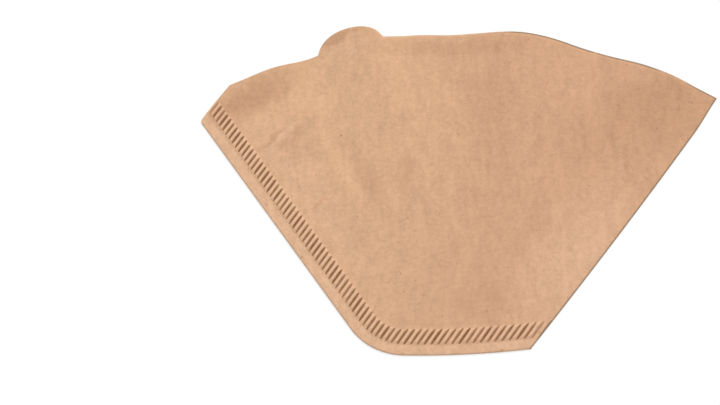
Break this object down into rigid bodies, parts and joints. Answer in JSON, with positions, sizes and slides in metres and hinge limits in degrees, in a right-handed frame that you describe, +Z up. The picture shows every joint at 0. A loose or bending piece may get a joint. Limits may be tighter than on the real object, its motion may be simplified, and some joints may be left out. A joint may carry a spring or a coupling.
{
  "type": "paper coffee filter",
  "caption": "Flat, cone-shaped coffee filter of unbleached brown paper, folded at one side, crimped along the seam and the base, with an opening lobe at the mouth.",
  "frame": {"origin": "middle of the underside of the flat filter", "axes": "+X from the crimped seam towards the fold, +Y from the base towards the mouth, +Z up"},
  "size_m": [0.1654, 0.1174, 0.0033],
  "materials": {
    "unbleached_paper": "matte, fibrous, unbleached"
  },
  "bodies": {
    "root": {"paper_filter": "unbleached_paper"}
  },
  "joints": []
}
